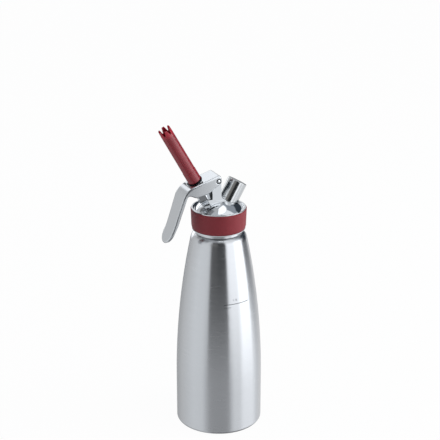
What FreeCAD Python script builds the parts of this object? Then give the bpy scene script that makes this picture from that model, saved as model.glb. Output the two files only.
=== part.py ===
import FreeCAD, Part
import math
import os

# Whipped cream dispenser: a drawn steel bottle closed by a screwed head that carries a squeeze
# lever, a spring-loaded dispensing valve with a decorator tip, and a charger inlet under a cap.
# Millimetres. Origin: centre of the bottle's base. +Z up, the lever is on -X, the charger inlet
# on +X, and Y = 0 is the plane of symmetry of the head.

# ---------------------------------------------------------------- clearances
GAP = 0.3               # between faces of bodies that move apart
RUNNING = 0.05          # radial clearance of a shaft that turns or slides in its bore
SEAT_GAP = 0.15         # a closed valve's seal to its seat
COIL_STEPS = 12         # points per turn along a spring's wire

# ---------------------------------------------------------------- bottle
BOTTLE_R = 48.0
BOTTLE_WALL = 1.0
BASE_THICK = 1.6
BASE_CORNER_R = 3.0
STRAIGHT_TOP_Z = 53.0   # top of the cylindrical wall
SHOULDER_TOP_Z = 227.0  # where the shoulder meets the neck
SHOULDER_ROUND = 10.0
SHOULDER_IN = 4.36      # centre of the shoulder's rounding inside the neck's wall
HEAD_BASE_RISE = 2.9    # level the head is placed from, above the shoulder
BASE_GROOVE_IN = 12.0   # groove inside the bottle's side
BASE_GROOVE_WIDE = 1.6
BASE_GROOVE_DEEP = 0.6
NECK_R = 25.6
NECK_WALL = 1.2
NECK_HIGH = 17.0        # above the head's base level
THREAD_RISE = 1.0       # the neck's thread ridges above the neck
THREAD_PITCH = 4.0
THREAD_RIDGE = 1.6      # ridge width at its foot
THREAD_TURNS = 3
THREAD_FIRST = 3.7      # first ridge above the head's base level

# ---------------------------------------------------------------- head
SKIRT_WALL = 1.4
SKIRT_BORE_CLEAR = 0.4  # skirt bore outside the neck's thread ridges
SKIRT_BASE_GAP = 0.5    # skirt above the head's base level
SKIRT_RIM_OUT = 0.7     # rim that carries the band's lower edge, outside the skirt
SKIRT_RIM_HIGH = 1.2
BAND_HIGH = 22.7
BAND_BOTTOM_THICK = 1.45
BAND_TOP_THICK = 2.2
BAND_FOOT = 0.2         # band's thickness at its foot
BAND_CORNER = 2.0       # height over which its lower corner draws in
BAND_CORNER_ROUND = 7.0
BAND_TOP_ROUND = 0.6
LIP_OUT = 1.5           # lip outside the skirt
LIP_HIGH = 1.0
LIP_WIDE = 1.7
LIP_ROUND = 0.45
MOAT_DEEP = 2.3         # channel between the lip and the dome
MOAT_ROUND = 0.8
MOAT_WIDE = 1.05
MOAT_WALL = 1.1         # skirt's wall left outside the moat's floor
DOME_RISE = 12.4        # above the moat's floor
DOME_WALL = 2.6
GASKET_THICK = 2.3
GASKET_IN = 1.5         # gasket's inner edge inside the neck's bore
SEAT_RING_IN = 0.6      # inner edge of the ring that bears on it, inside the gasket's

# ---------------------------------------------------------------- valve axis (tilted to -X)
VALVE_FOOT = 9.1        # foot of the axis above the head's base level
VALVE_TILT = 29.5       # degrees from vertical
BLOCK_FLATS = 14.4      # hexagonal housing, across its flats
BLOCK_TOP = 40.0
BLOCK_ROOT = 20.0
SEAT = 15.0             # valve seat, at the inner end of the boss
VALVE_BOSS_WALL = 0.8   # boss outside the seal
CHAMBER_CLEAR = 0.9     # flow chamber outside the stem
CHAMBER_HIGH = 7.0
STEM_R = 4.0
STEM_BORE_R = 2.3
STEM_NECK_R = 3.1       # reduced stem inside the flow chamber
STEM_THREAD_R = 3.5
STEM_OVER_STUB = 1.1    # stem's end above the adapter's stub
STEM_PORT_R = 1.3
STEM_PORT_RISE = 3.6    # above the seat
POPPET_OUT = 0.7        # poppet outside the chamber
POPPET_THICK = 2.0
SEAL_OUT = 0.8          # seal outside the poppet
SEAL_THICK = 1.8
GUIDE_WALL = 1.9        # threaded bush that guides the stem
GUIDE_OVER_CHAMBER = 0.4
GUIDE_HEAD_OUT = 1.1
GUIDE_HEAD_HIGH = 2.4
GUIDE_GASKET = 0.8
GUIDE_SLOT = 1.4        # driver slots across the bush's head
ORING_WIRE = 0.5        # wire radius of the stem's O-rings
ORING_RISES = (4.6, 10.6)       # above the guide's root
SPRING_WIRE_R = 0.55
SPRING_CLEAR = 0.75     # coils outside the stem
SPRING_TURNS = 3.5
COLLAR_R = 9.2
COLLAR_THICK = 2.2

# ---------------------------------------------------------------- charger inlet axis (tilted to +X)
INLET_FOOT_X = -1.2
INLET_FOOT = 10.1       # foot of the axis above the head's base level
INLET_TILT = 30.0
SPOTFACE = 23.5         # pocket floor under the cap
SPOTFACE_CLEAR = 1.2    # pocket outside the cap
SPOTFACE_PAD_OUT = 2.9
SPOTFACE_PAD_DEEP = 3.2
INLET_BOSS_WALL = 2.6
INLET_BOSS_DEEP = 9.5   # below the pocket's floor
INLET_ROOT_R = 6.4      # threaded root of the inlet in the boss
INLET_R = 8.2           # the charger holder's thread
LINER_GAP = 0.5         # cap's liner above the inlet's end
INLET_RIDGE = 0.4
INLET_PITCH = 2.0
INLET_TURNS = 7
SOCKET_R = 4.7          # a charger's neck enters here
SOCKET_DEEP = 13.2
PIN_BORE_R = 1.9
PIN_DEEP = 6.0          # piercing pin below the socket's floor
PIN_RISE = 3.6          # and above it
PIN_HOLE_R = 0.6
CHECK_BALL_CLEAR = 0.9  # bore outside the ball
CHECK_ROOF_THICK = 2.0  # between the ball's bore and the pin
CHECK_SEAT_R = 1.2
CHECK_BALL_R = 1.8
CHECK_WIRE_R = 0.3
CHECK_TURNS = 3.0
RETAINER_HIGH = 2.6
RETAINER_HOLE_R = 0.9
CHARGER_GASKET = 1.4
INLET_GASKET = 0.8

# ---------------------------------------------------------------- protective cap
CAP_CLEAR = 0.7         # cap's bore outside the inlet's ridges
CAP_LENGTH = 24.3
CAP_WALL = 1.6
CAP_ROOF = 1.8
CAP_EDGE_R = 0.6
LINER_THICK = 1.6

# ---------------------------------------------------------------- pivot post and web
PIVOT_X = -5.3
PIVOT_RISE = 58.2       # above the head's base level
PIVOT_BOSS_R = 4.0
PIN_R = 1.9
POST_IN = 1.0           # post's sides inside the pivot boss's ends
WEB_IN = 0.4            # web's sides inside them
POST_LEFT = 6.5         # post's face on the valve's side of the pivot
POST_RIGHT = 4.3        # and on the inlet's side
POST_SHOULDER_DROP = 8.1        # below the pivot
WEB_RISE = 2.4          # above the dome's top
WEB_LEFT = 12.2         # web's end on the valve's side of the pivot
WEB_SUNK = 7.4          # web's foot below the dome's top
RIB_RISE = 9.6          # raised rib down the post's valve side
RIB_WIDE = 1.0
RIB_FOOT_WIDE = 3.4
RIB_FOOT_R = 5.0
SADDLE_DROP = 0.2       # saddle below the dome's top
SADDLE_R = 6.0
SADDLE_RIGHT = 13.3     # saddle's end on the inlet's side of the pivot

# ---------------------------------------------------------------- lever
LEVER_WIDE = 23.2
HANDLE_NARROWER = 0.8   # on each side
SHEET = 1.3
PLATE_TILT = 16.9       # degrees from horizontal
PLATE_RISE = 5.93       # plate's top above the pivot, square to the plate
PLATE_LENGTH = 38.1     # pivot's foot to the bend's corner, along the plate
NOSE_R = 4.0
NOSE_TOP_R = 2.4
BEND_R = 20.0
HANDLE_TILT = 19.3      # degrees from vertical
HANDLE_LENGTH = 45.0
FLARE_TILT = 28.0
FLARE_LENGTH = 19.5
FLARE_R = 30.0
HANDLE_DEEP = 4.4       # depth of the handle's side walls
HANDLE_DEEP_END = 3.6
CHEEK_TILT = 34.0       # degrees from horizontal, the cheek's edge below the nose
CHEEK_RUN = 17.4        # length of that edge
CHEEK_BELLY_RUN = 13.8  # near-level run of the cheek's lower edge
CHEEK_BELLY_TILT = 10.5
CHEEK_RISE_TILT = 24.0  # from the belly up to the arch behind the handle
CHEEK_LOW_R = 7.0
CHEEK_MID_R = 24.0
ARCH_R = 3.0
HANDLE_END_TRIM = 1.2   # round end above the flare's own
NARROWING_DROP = 11.7   # below the bend the cheeks' width runs down to the handle's
NARROWING_HIGH = 20.0
NARROWING_R = 300.0
STEM_HOLE_R = 8.2
STEM_HOLE_SHIFT = 1.2   # hole's centre beyond the valve axis, towards the handle
SQUEEZE_SPARE = 0.6     # degrees left between the plate and the collar at full squeeze
RIVET_RECESS_OUT = 1.0  # recess outside the pin
RIVET_RECESS_DEEP = 0.5
LEVER_EDGE_R = 1.1

# ---------------------------------------------------------------- decorator tip
ADAPTER_IN = 0.1        # flange inside the edge of the plate's hole
ADAPTER_THICK = 1.6
ADAPTER_OVER_PLATE = 0.5        # flange above the plate's top on the valve axis
ADAPTER_THREAD_CLEAR = 0.35     # tip's bore outside the stub's ridges
ADAPTER_STUB_HIGH = 8.5
ADAPTER_EDGE_R = 0.4
ADAPTER_RING_WIRE = 0.55
TIP_BASE_R = 7.45
TIP_TOP_R = 6.95
TIP_LENGTH = 69.9
TIP_WALL = 1.5
TIP_FOOT_HIGH = 13.0    # plain foot below the faint step
TIP_STEP = 0.25
TIP_PRONGS = 6
NOTCH_DEEP = 6.0
NOTCH_TOP = 4.6
NOTCH_BOTTOM = 1.3
NOTCH_PHASE = 0.32      # turn of the crown, in notches

# ---------------------------------------------------------------- worked-out places
head_base_z = SHOULDER_TOP_Z + HEAD_BASE_RISE
round_x = NECK_R - SHOULDER_IN
round_z = SHOULDER_TOP_Z - math.sqrt(SHOULDER_ROUND ** 2 - SHOULDER_IN ** 2)
round_high = round_z - STRAIGHT_TOP_Z
draw_in = BOTTLE_R - round_x
taper_r = ((draw_in ** 2 + round_high ** 2 - SHOULDER_ROUND ** 2)
           / (2 * (draw_in - SHOULDER_ROUND)))
neck_top_z = head_base_z + NECK_HIGH
thread_first_z = head_base_z + THREAD_FIRST
thread_r = NECK_R + THREAD_RISE

skirt_bore = thread_r + SKIRT_BORE_CLEAR
skirt_r = skirt_bore + SKIRT_WALL
rim_r = skirt_r + SKIRT_RIM_OUT
band_bottom_r = skirt_r + BAND_BOTTOM_THICK
band_top_r = skirt_r + BAND_TOP_THICK
lip_r = skirt_r + LIP_OUT
skirt_z = head_base_z + SKIRT_BASE_GAP
band_z = skirt_z + SKIRT_RIM_HIGH
lip_z = band_z + BAND_HIGH
lip_top_z = lip_z + LIP_HIGH
gasket_z = neck_top_z + GAP
gasket_top_z = gasket_z + GASKET_THICK
gasket_in_r = NECK_R - NECK_WALL - GASKET_IN
seat_ring_r = gasket_in_r - SEAT_RING_IN
moat_z = lip_top_z - MOAT_DEEP
lip_in_r = lip_r - LIP_WIDE
moat_out_r = skirt_r - MOAT_WALL
moat_rho = moat_out_r - MOAT_WIDE
dome_r = (moat_rho ** 2 + DOME_RISE ** 2) / (2 * DOME_RISE)
dome_top_z = moat_z + DOME_RISE
dome_centre_z = dome_top_z - dome_r

pivot_z = head_base_z + PIVOT_RISE
boss_half = LEVER_WIDE / 2.0 - SHEET - GAP
post_half = boss_half - POST_IN
web_half = boss_half - WEB_IN
post_left_x = PIVOT_X - POST_LEFT
post_right_x = PIVOT_X + POST_RIGHT
post_shoulder_z = pivot_z - POST_SHOULDER_DROP
web_left_x = PIVOT_X - WEB_LEFT
web_top_z = dome_top_z + WEB_RISE
web_foot_z = dome_top_z - WEB_SUNK
rib_top_z = dome_top_z + RIB_RISE
saddle_z = dome_top_z - SADDLE_DROP
saddle_end_x = PIVOT_X + SADDLE_RIGHT
rivet_recess_r = PIN_R + RIVET_RECESS_OUT

# places named _s lie along the valve's axis
valve_foot_z = head_base_z + VALVE_FOOT
plate_slack = math.radians(VALVE_TILT - PLATE_TILT)
valve_tilt = math.radians(VALVE_TILT)
pivot_s = -PIVOT_X * math.sin(valve_tilt) + (pivot_z - valve_foot_z) * math.cos(valve_tilt)
pivot_off = PIVOT_X * math.cos(valve_tilt) + (pivot_z - valve_foot_z) * math.sin(valve_tilt)
plate_top_s = pivot_s + PLATE_RISE / math.cos(plate_slack) + pivot_off * math.tan(plate_slack)
plate_under_s = plate_top_s - SHEET / math.cos(plate_slack)
collar_top_s = plate_under_s - COLLAR_R * math.tan(plate_slack) - GAP
spare = math.radians(SQUEEZE_SPARE)
contact_off = pivot_off - COLLAR_R
contact_rise = (PLATE_RISE - SHEET) * (1 / math.cos(plate_slack) - 1 / math.cos(spare))
stroke = contact_rise + contact_off * (math.tan(plate_slack) - math.tan(spare))
chamber_r = STEM_R + CHAMBER_CLEAR
poppet_r = chamber_r + POPPET_OUT
seal_r = poppet_r + SEAL_OUT
valve_boss_r = seal_r + VALVE_BOSS_WALL
chamber_top_s = SEAT + CHAMBER_HIGH
port_s = SEAT + STEM_PORT_RISE
stem_foot_s = SEAT - SEAT_GAP - SEAL_THICK - POPPET_THICK
poppet_top_s = stem_foot_s + POPPET_THICK
guide_r = STEM_R + GUIDE_WALL
guide_head_r = guide_r + GUIDE_HEAD_OUT
guide_root_s = chamber_top_s + GUIDE_OVER_CHAMBER
guide_head_s = BLOCK_TOP + GUIDE_GASKET
guide_top_s = guide_head_s + GUIDE_HEAD_HIGH
oring_places = [guide_root_s + rise for rise in ORING_RISES]
spring_coil_r = STEM_R + SPRING_CLEAR + SPRING_WIRE_R
adapter_r = STEM_HOLE_R - ADAPTER_IN
adapter_s = plate_top_s + ADAPTER_OVER_PLATE
stub_s = adapter_s + ADAPTER_THICK
stub_top_s = stub_s + ADAPTER_STUB_HIGH
stub_r = TIP_BASE_R - TIP_WALL - ADAPTER_THREAD_CLEAR - INLET_RIDGE
stem_top_s = stub_top_s + STEM_OVER_STUB
tip_s = stub_s + GAP

# places named _t lie along the inlet's axis
inlet_foot_z = head_base_z + INLET_FOOT
cap_r = INLET_R + INLET_RIDGE + CAP_CLEAR + CAP_WALL
cap_t = SPOTFACE + GAP
cap_roof_t = cap_t + CAP_LENGTH - CAP_ROOF
spotface_r = cap_r + SPOTFACE_CLEAR
spotface_pad_r = spotface_r + SPOTFACE_PAD_OUT
inlet_boss_r = INLET_ROOT_R + INLET_BOSS_WALL
inlet_root_t = SPOTFACE - INLET_BOSS_DEEP
inlet_seat_t = SPOTFACE + INLET_GASKET
inlet_top_t = cap_roof_t - LINER_THICK - LINER_GAP
socket_floor_t = inlet_top_t - SOCKET_DEEP
pin_root_t = socket_floor_t - PIN_DEEP
check_bore_r = CHECK_BALL_R + CHECK_BALL_CLEAR
check_roof_t = pin_root_t - CHECK_ROOF_THICK
ball_t = check_roof_t - math.sqrt(CHECK_BALL_R ** 2 - CHECK_SEAT_R ** 2) - SEAT_GAP
retainer_top_t = inlet_root_t + RETAINER_HIGH


# ---------------------------------------------------------------- helpers
def vec(x, y, z):
    return FreeCAD.Vector(x, y, z)


def corner_arc(before, corner, after, radius):
    """Start, middle and end of the arc that rounds a corner of an outline."""
    back = (before - corner).normalize()
    ahead = (after - corner).normalize()
    half = back.getAngle(ahead) / 2.0
    reach = radius / math.tan(half)
    bisector = (back + ahead).normalize()
    centre = corner + bisector * (radius / math.sin(half))
    return corner + back * reach, centre - bisector * radius, corner + ahead * reach


def outline(points, plane="XZ"):
    """Closed wire through (u, v, radius) corners; a radius of 0 leaves the corner sharp."""
    def place(u, v):
        return vec(u, 0, v) if plane == "XZ" else vec(0, u, v)

    corners = [place(p[0], p[1]) for p in points]
    count = len(points)
    runs = []
    for i, point in enumerate(points):
        if point[2] > 0:
            runs.append(corner_arc(corners[i - 1], corners[i], corners[(i + 1) % count], point[2]))
        else:
            runs.append((corners[i],))
    edges = []
    for i, run in enumerate(runs):
        if len(run) == 3:
            edges.append(Part.Arc(*run).toShape())
        start = run[-1]
        end = runs[(i + 1) % count][0]
        if start.distanceToPoint(end) > 1e-6:
            edges.append(Part.LineSegment(start, end).toShape())
    return Part.Wire(edges)


def revolve(wire):
    return Part.Face(wire).revolve(vec(0, 0, 0), vec(0, 0, 1), 360)


def turned(*points):
    """Solid of revolution about Z through (radius, z) or (radius, z, rounding) corners."""
    return revolve(outline([tuple(p) + (0,) * (3 - len(p)) for p in points]))


def disc(radius, low, high):
    return Part.makeCylinder(radius, high - low, vec(0, 0, low))


def tube(outer, inner, low, high):
    return turned((inner, low), (outer, low), (outer, high), (inner, high))


def slab(wire, half):
    """Extrude an XZ outline to both sides of the plane of symmetry."""
    return Part.Face(wire).extrude(vec(0, 2 * half, 0)).translated(vec(0, -half, 0))


def on_valve_axis(shape):
    turn = FreeCAD.Rotation(vec(0, 1, 0), -VALVE_TILT)
    return shape.transformed(FreeCAD.Placement(vec(0, 0, valve_foot_z), turn).toMatrix())


def on_inlet_axis(shape):
    turn = FreeCAD.Rotation(vec(0, 1, 0), INLET_TILT)
    place = FreeCAD.Placement(vec(INLET_FOOT_X, 0, inlet_foot_z), turn)
    return shape.transformed(place.toMatrix())


def thread_ridges(radius, rise, foot, low, pitch, turns):
    """Rows of ridges that stand in for a thread, to fuse to a shaft."""
    crest = foot / 2.0
    overlap = min(rise, crest)
    rows = []
    for turn in range(turns):
        z = low + turn * pitch
        rows.append(turned((radius - overlap, z), (radius, z), (radius + rise, z + crest / 2.0),
                           (radius + rise, z + foot - crest / 2.0), (radius, z + foot),
                           (radius - overlap, z + foot)))
    return rows


def coil(radius, wire_r, low, high, turns):
    """Compression spring whose wire stays between low and high."""
    rise = high - low - 2 * wire_r
    steps = int(turns * COIL_STEPS)
    curve = Part.BSplineCurve()
    curve.interpolate([vec(radius * math.cos(2 * math.pi * turns * i / steps),
                           radius * math.sin(2 * math.pi * turns * i / steps),
                           rise * i / steps) for i in range(steps + 1)])
    ring = Part.Wire([Part.makeCircle(wire_r, vec(radius, 0, 0), vec(0, 1, 0))])
    spring = Part.Wire([curve.toShape()]).makePipeShell([ring], True, True)
    return spring.translated(vec(0, 0, low + wire_r))


def along(start, angle_x, length):
    """Point at a length from start, at an angle in degrees from +X towards +Z."""
    turn = math.radians(angle_x)
    return start[0] + length * math.cos(turn), start[1] + length * math.sin(turn)


def crossing(a, angle_a, b, angle_b):
    """Where the line through a at angle_a meets the line through b at angle_b (degrees)."""
    ta, tb = math.radians(angle_a), math.radians(angle_b)
    cross = math.cos(ta) * math.sin(tb) - math.sin(ta) * math.cos(tb)
    reach = ((b[0] - a[0]) * math.sin(tb) - (b[1] - a[1]) * math.cos(tb)) / cross
    return a[0] + reach * math.cos(ta), a[1] + reach * math.sin(ta)


# ---------------------------------------------------------------- bottle
def bottle_solid(offset, base_z, top_z):
    """The bottle's outside (offset 0) or its inside (offset by the wall)."""
    side = BOTTLE_R - offset
    corner = BASE_CORNER_R - offset
    taper = taper_r - offset
    rounding = SHOULDER_ROUND - offset
    neck = NECK_R - NECK_WALL if offset else NECK_R
    meet = math.asin(round_high / (taper_r - SHOULDER_ROUND))
    end = math.acos((neck - round_x) / rounding)
    swing = math.sqrt(0.5)

    def taper_point(turn):
        return vec(BOTTLE_R - taper_r + taper * math.cos(turn), 0,
                   STRAIGHT_TOP_Z + taper * math.sin(turn))

    def shoulder_point(turn):
        return vec(round_x + rounding * math.cos(turn), 0, round_z + rounding * math.sin(turn))

    edges = [
        Part.LineSegment(vec(0, 0, base_z), vec(side - corner, 0, base_z)),
        Part.Arc(vec(side - corner, 0, base_z),
                 vec(side - corner + corner * swing, 0, base_z + corner - corner * swing),
                 vec(side, 0, base_z + corner)),
        Part.LineSegment(vec(side, 0, base_z + corner), vec(side, 0, STRAIGHT_TOP_Z)),
        Part.Arc(vec(side, 0, STRAIGHT_TOP_Z), taper_point(meet / 2.0), taper_point(meet)),
        Part.Arc(taper_point(meet), shoulder_point((meet + end) / 2.0), shoulder_point(end)),
        Part.LineSegment(shoulder_point(end), vec(neck, 0, top_z)),
        Part.LineSegment(vec(neck, 0, top_z), vec(0, 0, top_z)),
        Part.LineSegment(vec(0, 0, top_z), vec(0, 0, base_z)),
    ]
    return revolve(Part.Wire([edge.toShape() for edge in edges]))


def bottle():
    body = bottle_solid(0.0, 0.0, neck_top_z)
    ridges = thread_ridges(NECK_R, THREAD_RISE, THREAD_RIDGE, thread_first_z, THREAD_PITCH,
                           THREAD_TURNS)
    body = body.fuse(ridges)
    groove_r = BOTTLE_R - BASE_GROOVE_IN
    groove = tube(groove_r + BASE_GROOVE_WIDE, groove_r, 0.0, BASE_GROOVE_DEEP)
    inside = bottle_solid(BOTTLE_WALL, BASE_THICK, neck_top_z + GAP)
    return body.cut(inside).cut(groove)


# ---------------------------------------------------------------- head
def dome_point(rho, radius):
    return vec(rho, 0, dome_centre_z + math.sqrt(radius ** 2 - rho ** 2))


def head_shell():
    """Skirt, lip, moat and dome in one turned casting."""
    inner_r = dome_r - DOME_WALL
    blank = turned(
        (0, gasket_top_z), (skirt_bore, gasket_top_z), (skirt_bore, skirt_z),
        (rim_r, skirt_z, LIP_ROUND), (rim_r, band_z), (skirt_r, band_z),
        (skirt_r, lip_z), (lip_r, lip_z), (lip_r, lip_top_z, LIP_ROUND),
        (lip_in_r, lip_top_z, LIP_ROUND), (moat_out_r, moat_z, MOAT_ROUND), (moat_rho, moat_z),
        (0, moat_z))
    ball = Part.makeSphere(dome_r, vec(0, 0, dome_centre_z))
    cavity = Part.makeSphere(inner_r, vec(0, 0, dome_centre_z))
    cap_zone = disc(moat_rho + 1.0, gasket_top_z, dome_top_z + 1.0)
    well = disc(seat_ring_r, gasket_z, dome_top_z)
    return blank.fuse(ball.common(cap_zone)).cut(cavity.common(well))


def valve_block():
    """Hexagonal housing along the valve axis, one corner to each side of the head."""
    corner_r = BLOCK_FLATS / math.sqrt(3.0)
    ring = [vec(corner_r * math.sin(math.radians(turn)), corner_r * math.cos(math.radians(turn)),
                BLOCK_ROOT) for turn in range(0, 361, 60)]
    block = Part.Face(Part.makePolygon(ring)).extrude(vec(0, 0, BLOCK_TOP - BLOCK_ROOT))
    return on_valve_axis(block.fuse(disc(valve_boss_r, SEAT, BLOCK_ROOT)))


def inlet_boss():
    """Boss under the charger inlet, kept inside the dome's own surface."""
    boss = disc(inlet_boss_r, inlet_root_t, SPOTFACE)
    pad = disc(spotface_pad_r, SPOTFACE - SPOTFACE_PAD_DEEP, SPOTFACE)
    ball = Part.makeSphere(dome_r, vec(0, 0, dome_centre_z))
    return on_inlet_axis(boss.fuse(pad)).common(ball)


def pivot_post():
    """Web between the two bosses, and the post that carries the lever's pivot."""
    web = outline([
        (web_left_x + math.tan(valve_tilt) * (web_top_z - web_foot_z), web_foot_z, 0),
        (web_left_x, web_top_z, 0),
        (post_left_x, web_top_z, 0),
        (post_left_x, rib_top_z, 0),
        (post_left_x + RIB_WIDE, rib_top_z, 0),
        (post_left_x + RIB_FOOT_WIDE, saddle_z, RIB_FOOT_R),
        (saddle_end_x, saddle_z, 0),
        (saddle_end_x, web_foot_z, 0)])
    post = outline([
        (post_left_x, web_foot_z, 0),
        (post_left_x, post_shoulder_z, SADDLE_R / 2.0),
        (PIVOT_X - PIVOT_BOSS_R, pivot_z, 0),
        (PIVOT_X + PIVOT_BOSS_R, pivot_z, 0),
        (post_right_x, post_shoulder_z, 0),
        (post_right_x, saddle_z, SADDLE_R),
        (saddle_end_x, saddle_z, 0),
        (saddle_end_x, web_foot_z, 0)])
    boss = Part.makeCylinder(PIVOT_BOSS_R, 2 * boss_half, vec(PIVOT_X, -boss_half, pivot_z),
                             vec(0, 1, 0))
    return slab(web, web_half).fuse([slab(post, post_half), boss])


def head_body():
    casting = head_shell().fuse([valve_block(), inlet_boss(), pivot_post()])
    cap_room = on_inlet_axis(disc(spotface_r, SPOTFACE, SPOTFACE + 2 * CAP_LENGTH))
    inlet_bore = on_inlet_axis(disc(INLET_ROOT_R, inlet_root_t - INLET_R, SPOTFACE))
    chamber = disc(chamber_r, SEAT - poppet_r, chamber_top_s)
    bores = chamber.fuse([disc(seal_r + GAP, stem_foot_s - GAP, SEAT),
                          disc(STEM_R + GAP, SEAT, guide_root_s),
                          disc(guide_r, guide_root_s, BLOCK_TOP)])
    pin = pivot_cylinder(PIN_R, LEVER_WIDE)
    return casting.cut([cap_room, inlet_bore, on_valve_axis(bores), pin])


def pivot_cylinder(radius, width):
    return Part.makeCylinder(radius, width, vec(PIVOT_X, -width / 2.0, pivot_z), vec(0, 1, 0))


def grip_band():
    """Silicone band, a little wider at its top, with a rounded lower edge."""
    return turned((skirt_r, band_z), (skirt_r + BAND_FOOT, band_z),
                  (band_bottom_r, band_z + BAND_CORNER, BAND_CORNER_ROUND),
                  (band_top_r, lip_z, BAND_TOP_ROUND), (skirt_r, lip_z))


def head_gasket():
    return tube(skirt_bore - RUNNING, gasket_in_r, gasket_z, gasket_top_z)


# ---------------------------------------------------------------- dispensing valve
def stem_guide():
    """Threaded bush in the housing, with a slotted head."""
    bush = turned((STEM_R + RUNNING, guide_root_s), (guide_r, guide_root_s), (guide_r, guide_head_s),
                  (guide_head_r, guide_head_s), (guide_head_r, guide_top_s, GUIDE_GASKET / 2.0),
                  (STEM_R + RUNNING, guide_top_s))
    slot = Part.makeBox(2 * guide_head_r, GUIDE_SLOT, GUIDE_SLOT,
                        vec(-guide_head_r, -GUIDE_SLOT / 2.0, guide_top_s - GUIDE_SLOT / 2.0))
    return on_valve_axis(bush.cut(slot))


def guide_gasket():
    return on_valve_axis(tube(guide_head_r, guide_r, BLOCK_TOP, guide_head_s))


def valve_stem():
    """Hollow stem: poppet at its foot, flow ports above it, thread at its top."""
    neck_top = chamber_top_s + ORING_WIRE
    stem = turned((0, stem_foot_s), (poppet_r, stem_foot_s, ORING_WIRE), (poppet_r, poppet_top_s),
                  (STEM_NECK_R, poppet_top_s), (STEM_NECK_R, neck_top), (STEM_R, neck_top + STEM_R
                  - STEM_NECK_R), (STEM_R, adapter_s), (STEM_THREAD_R, adapter_s),
                  (STEM_THREAD_R, stem_top_s), (0, stem_top_s))
    bore = disc(STEM_BORE_R, port_s - STEM_BORE_R, stem_top_s)
    ports = [Part.makeCylinder(STEM_PORT_R, 2 * STEM_R, vec(0, 0, port_s), way)
             for way in (vec(1, 0, 0), vec(-1, 0, 0), vec(0, 1, 0), vec(0, -1, 0))]
    grooves = [tube(STEM_R + GAP, STEM_R - 2 * ORING_WIRE, at - 1.2 * ORING_WIRE,
                    at + 1.2 * ORING_WIRE) for at in oring_places]
    return on_valve_axis(stem.cut([bore] + ports + grooves))


def stem_o_rings():
    rings = [Part.makeTorus(STEM_R - ORING_WIRE, ORING_WIRE, vec(0, 0, at)) for at in oring_places]
    return on_valve_axis(Part.makeCompound(rings))


def valve_seal():
    return on_valve_axis(tube(seal_r, STEM_NECK_R, poppet_top_s, poppet_top_s + SEAL_THICK))


def stem_collar():
    """Ring fixed on the stem, which the lever's plate pushes."""
    low = collar_top_s - COLLAR_THICK
    ring = turned((STEM_R, low), (COLLAR_R, low, GAP), (COLLAR_R, collar_top_s, GAP),
                  (STEM_R, collar_top_s))
    return on_valve_axis(ring)


def valve_spring():
    low = guide_top_s + RUNNING
    high = collar_top_s - COLLAR_THICK - RUNNING
    return on_valve_axis(coil(spring_coil_r, SPRING_WIRE_R, low, high, SPRING_TURNS))


def tip_adapter():
    """Polished flange and threaded stub that the decorator tip screws on to."""
    blank = turned((STEM_THREAD_R, adapter_s), (adapter_r, adapter_s, ADAPTER_EDGE_R),
                   (adapter_r, stub_s, ADAPTER_EDGE_R), (stub_r, stub_s),
                   (stub_r, stub_top_s, ADAPTER_EDGE_R), (STEM_THREAD_R, stub_top_s))
    ridges = thread_ridges(stub_r, INLET_RIDGE, 1.0, stub_s + 1.4, 1.5, 2)
    return on_valve_axis(blank.fuse(ridges).cut(adapter_groove()))


def adapter_ring_s():
    return stub_top_s - 2 * ADAPTER_RING_WIRE


def adapter_groove():
    at = adapter_ring_s()
    return tube(stub_r + 1.0, stub_r - ADAPTER_RING_WIRE,
                at - 1.1 * ADAPTER_RING_WIRE, at + 1.1 * ADAPTER_RING_WIRE)


def adapter_o_ring():
    return on_valve_axis(Part.makeTorus(stub_r, ADAPTER_RING_WIRE,
                                        vec(0, 0, adapter_ring_s())))


def decorator_tip():
    """Slim tapered nozzle that ends in a crown of prongs."""
    top = tip_s + TIP_LENGTH
    foot_top = tip_s + TIP_FOOT_HIGH
    blank = turned(
        (TIP_BASE_R - TIP_WALL, tip_s), (TIP_BASE_R, tip_s, 2 * TIP_STEP),
        (TIP_BASE_R, foot_top), (TIP_BASE_R - TIP_STEP, foot_top + 2 * TIP_STEP),
        (TIP_TOP_R, top), (TIP_TOP_R - TIP_WALL, top),
        (TIP_BASE_R - TIP_STEP - TIP_WALL, foot_top + 2 * TIP_STEP),
        (TIP_BASE_R - TIP_WALL, foot_top - 2 * TIP_STEP))
    low = top - NOTCH_DEEP
    wedge = outline([(-NOTCH_BOTTOM / 2.0, low, 0.4 * NOTCH_BOTTOM),
                     (NOTCH_BOTTOM / 2.0, low, 0.4 * NOTCH_BOTTOM),
                     (NOTCH_TOP / 2.0, top + GAP, 0), (-NOTCH_TOP / 2.0, top + GAP, 0)])
    cutter = Part.Face(wedge).extrude(vec(0, 2 * TIP_BASE_R, 0))
    step = 360.0 / TIP_PRONGS
    notches = [cutter.rotated(vec(0, 0, 0), vec(0, 0, 1), step * (i + NOTCH_PHASE))
               for i in range(TIP_PRONGS)]
    return on_valve_axis(blank.cut(notches))


# ---------------------------------------------------------------- charger inlet
def charger_inlet():
    """Threaded stub that a charger holder screws on to."""
    blank = turned(
        (check_bore_r, inlet_root_t), (INLET_ROOT_R, inlet_root_t),
        (INLET_ROOT_R, inlet_seat_t), (INLET_R, inlet_seat_t), (INLET_R, inlet_top_t, INLET_RIDGE),
        (SOCKET_R, inlet_top_t, INLET_RIDGE), (SOCKET_R, socket_floor_t), (PIN_BORE_R, socket_floor_t),
        (PIN_BORE_R, pin_root_t), (CHECK_SEAT_R, pin_root_t), (CHECK_SEAT_R, check_roof_t),
        (check_bore_r, check_roof_t))
    first = inlet_top_t - INLET_TURNS * INLET_PITCH - INLET_RIDGE
    ridges = thread_ridges(INLET_R, INLET_RIDGE, 3 * INLET_RIDGE, first, INLET_PITCH, INLET_TURNS)
    return on_inlet_axis(blank.fuse(ridges))


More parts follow.
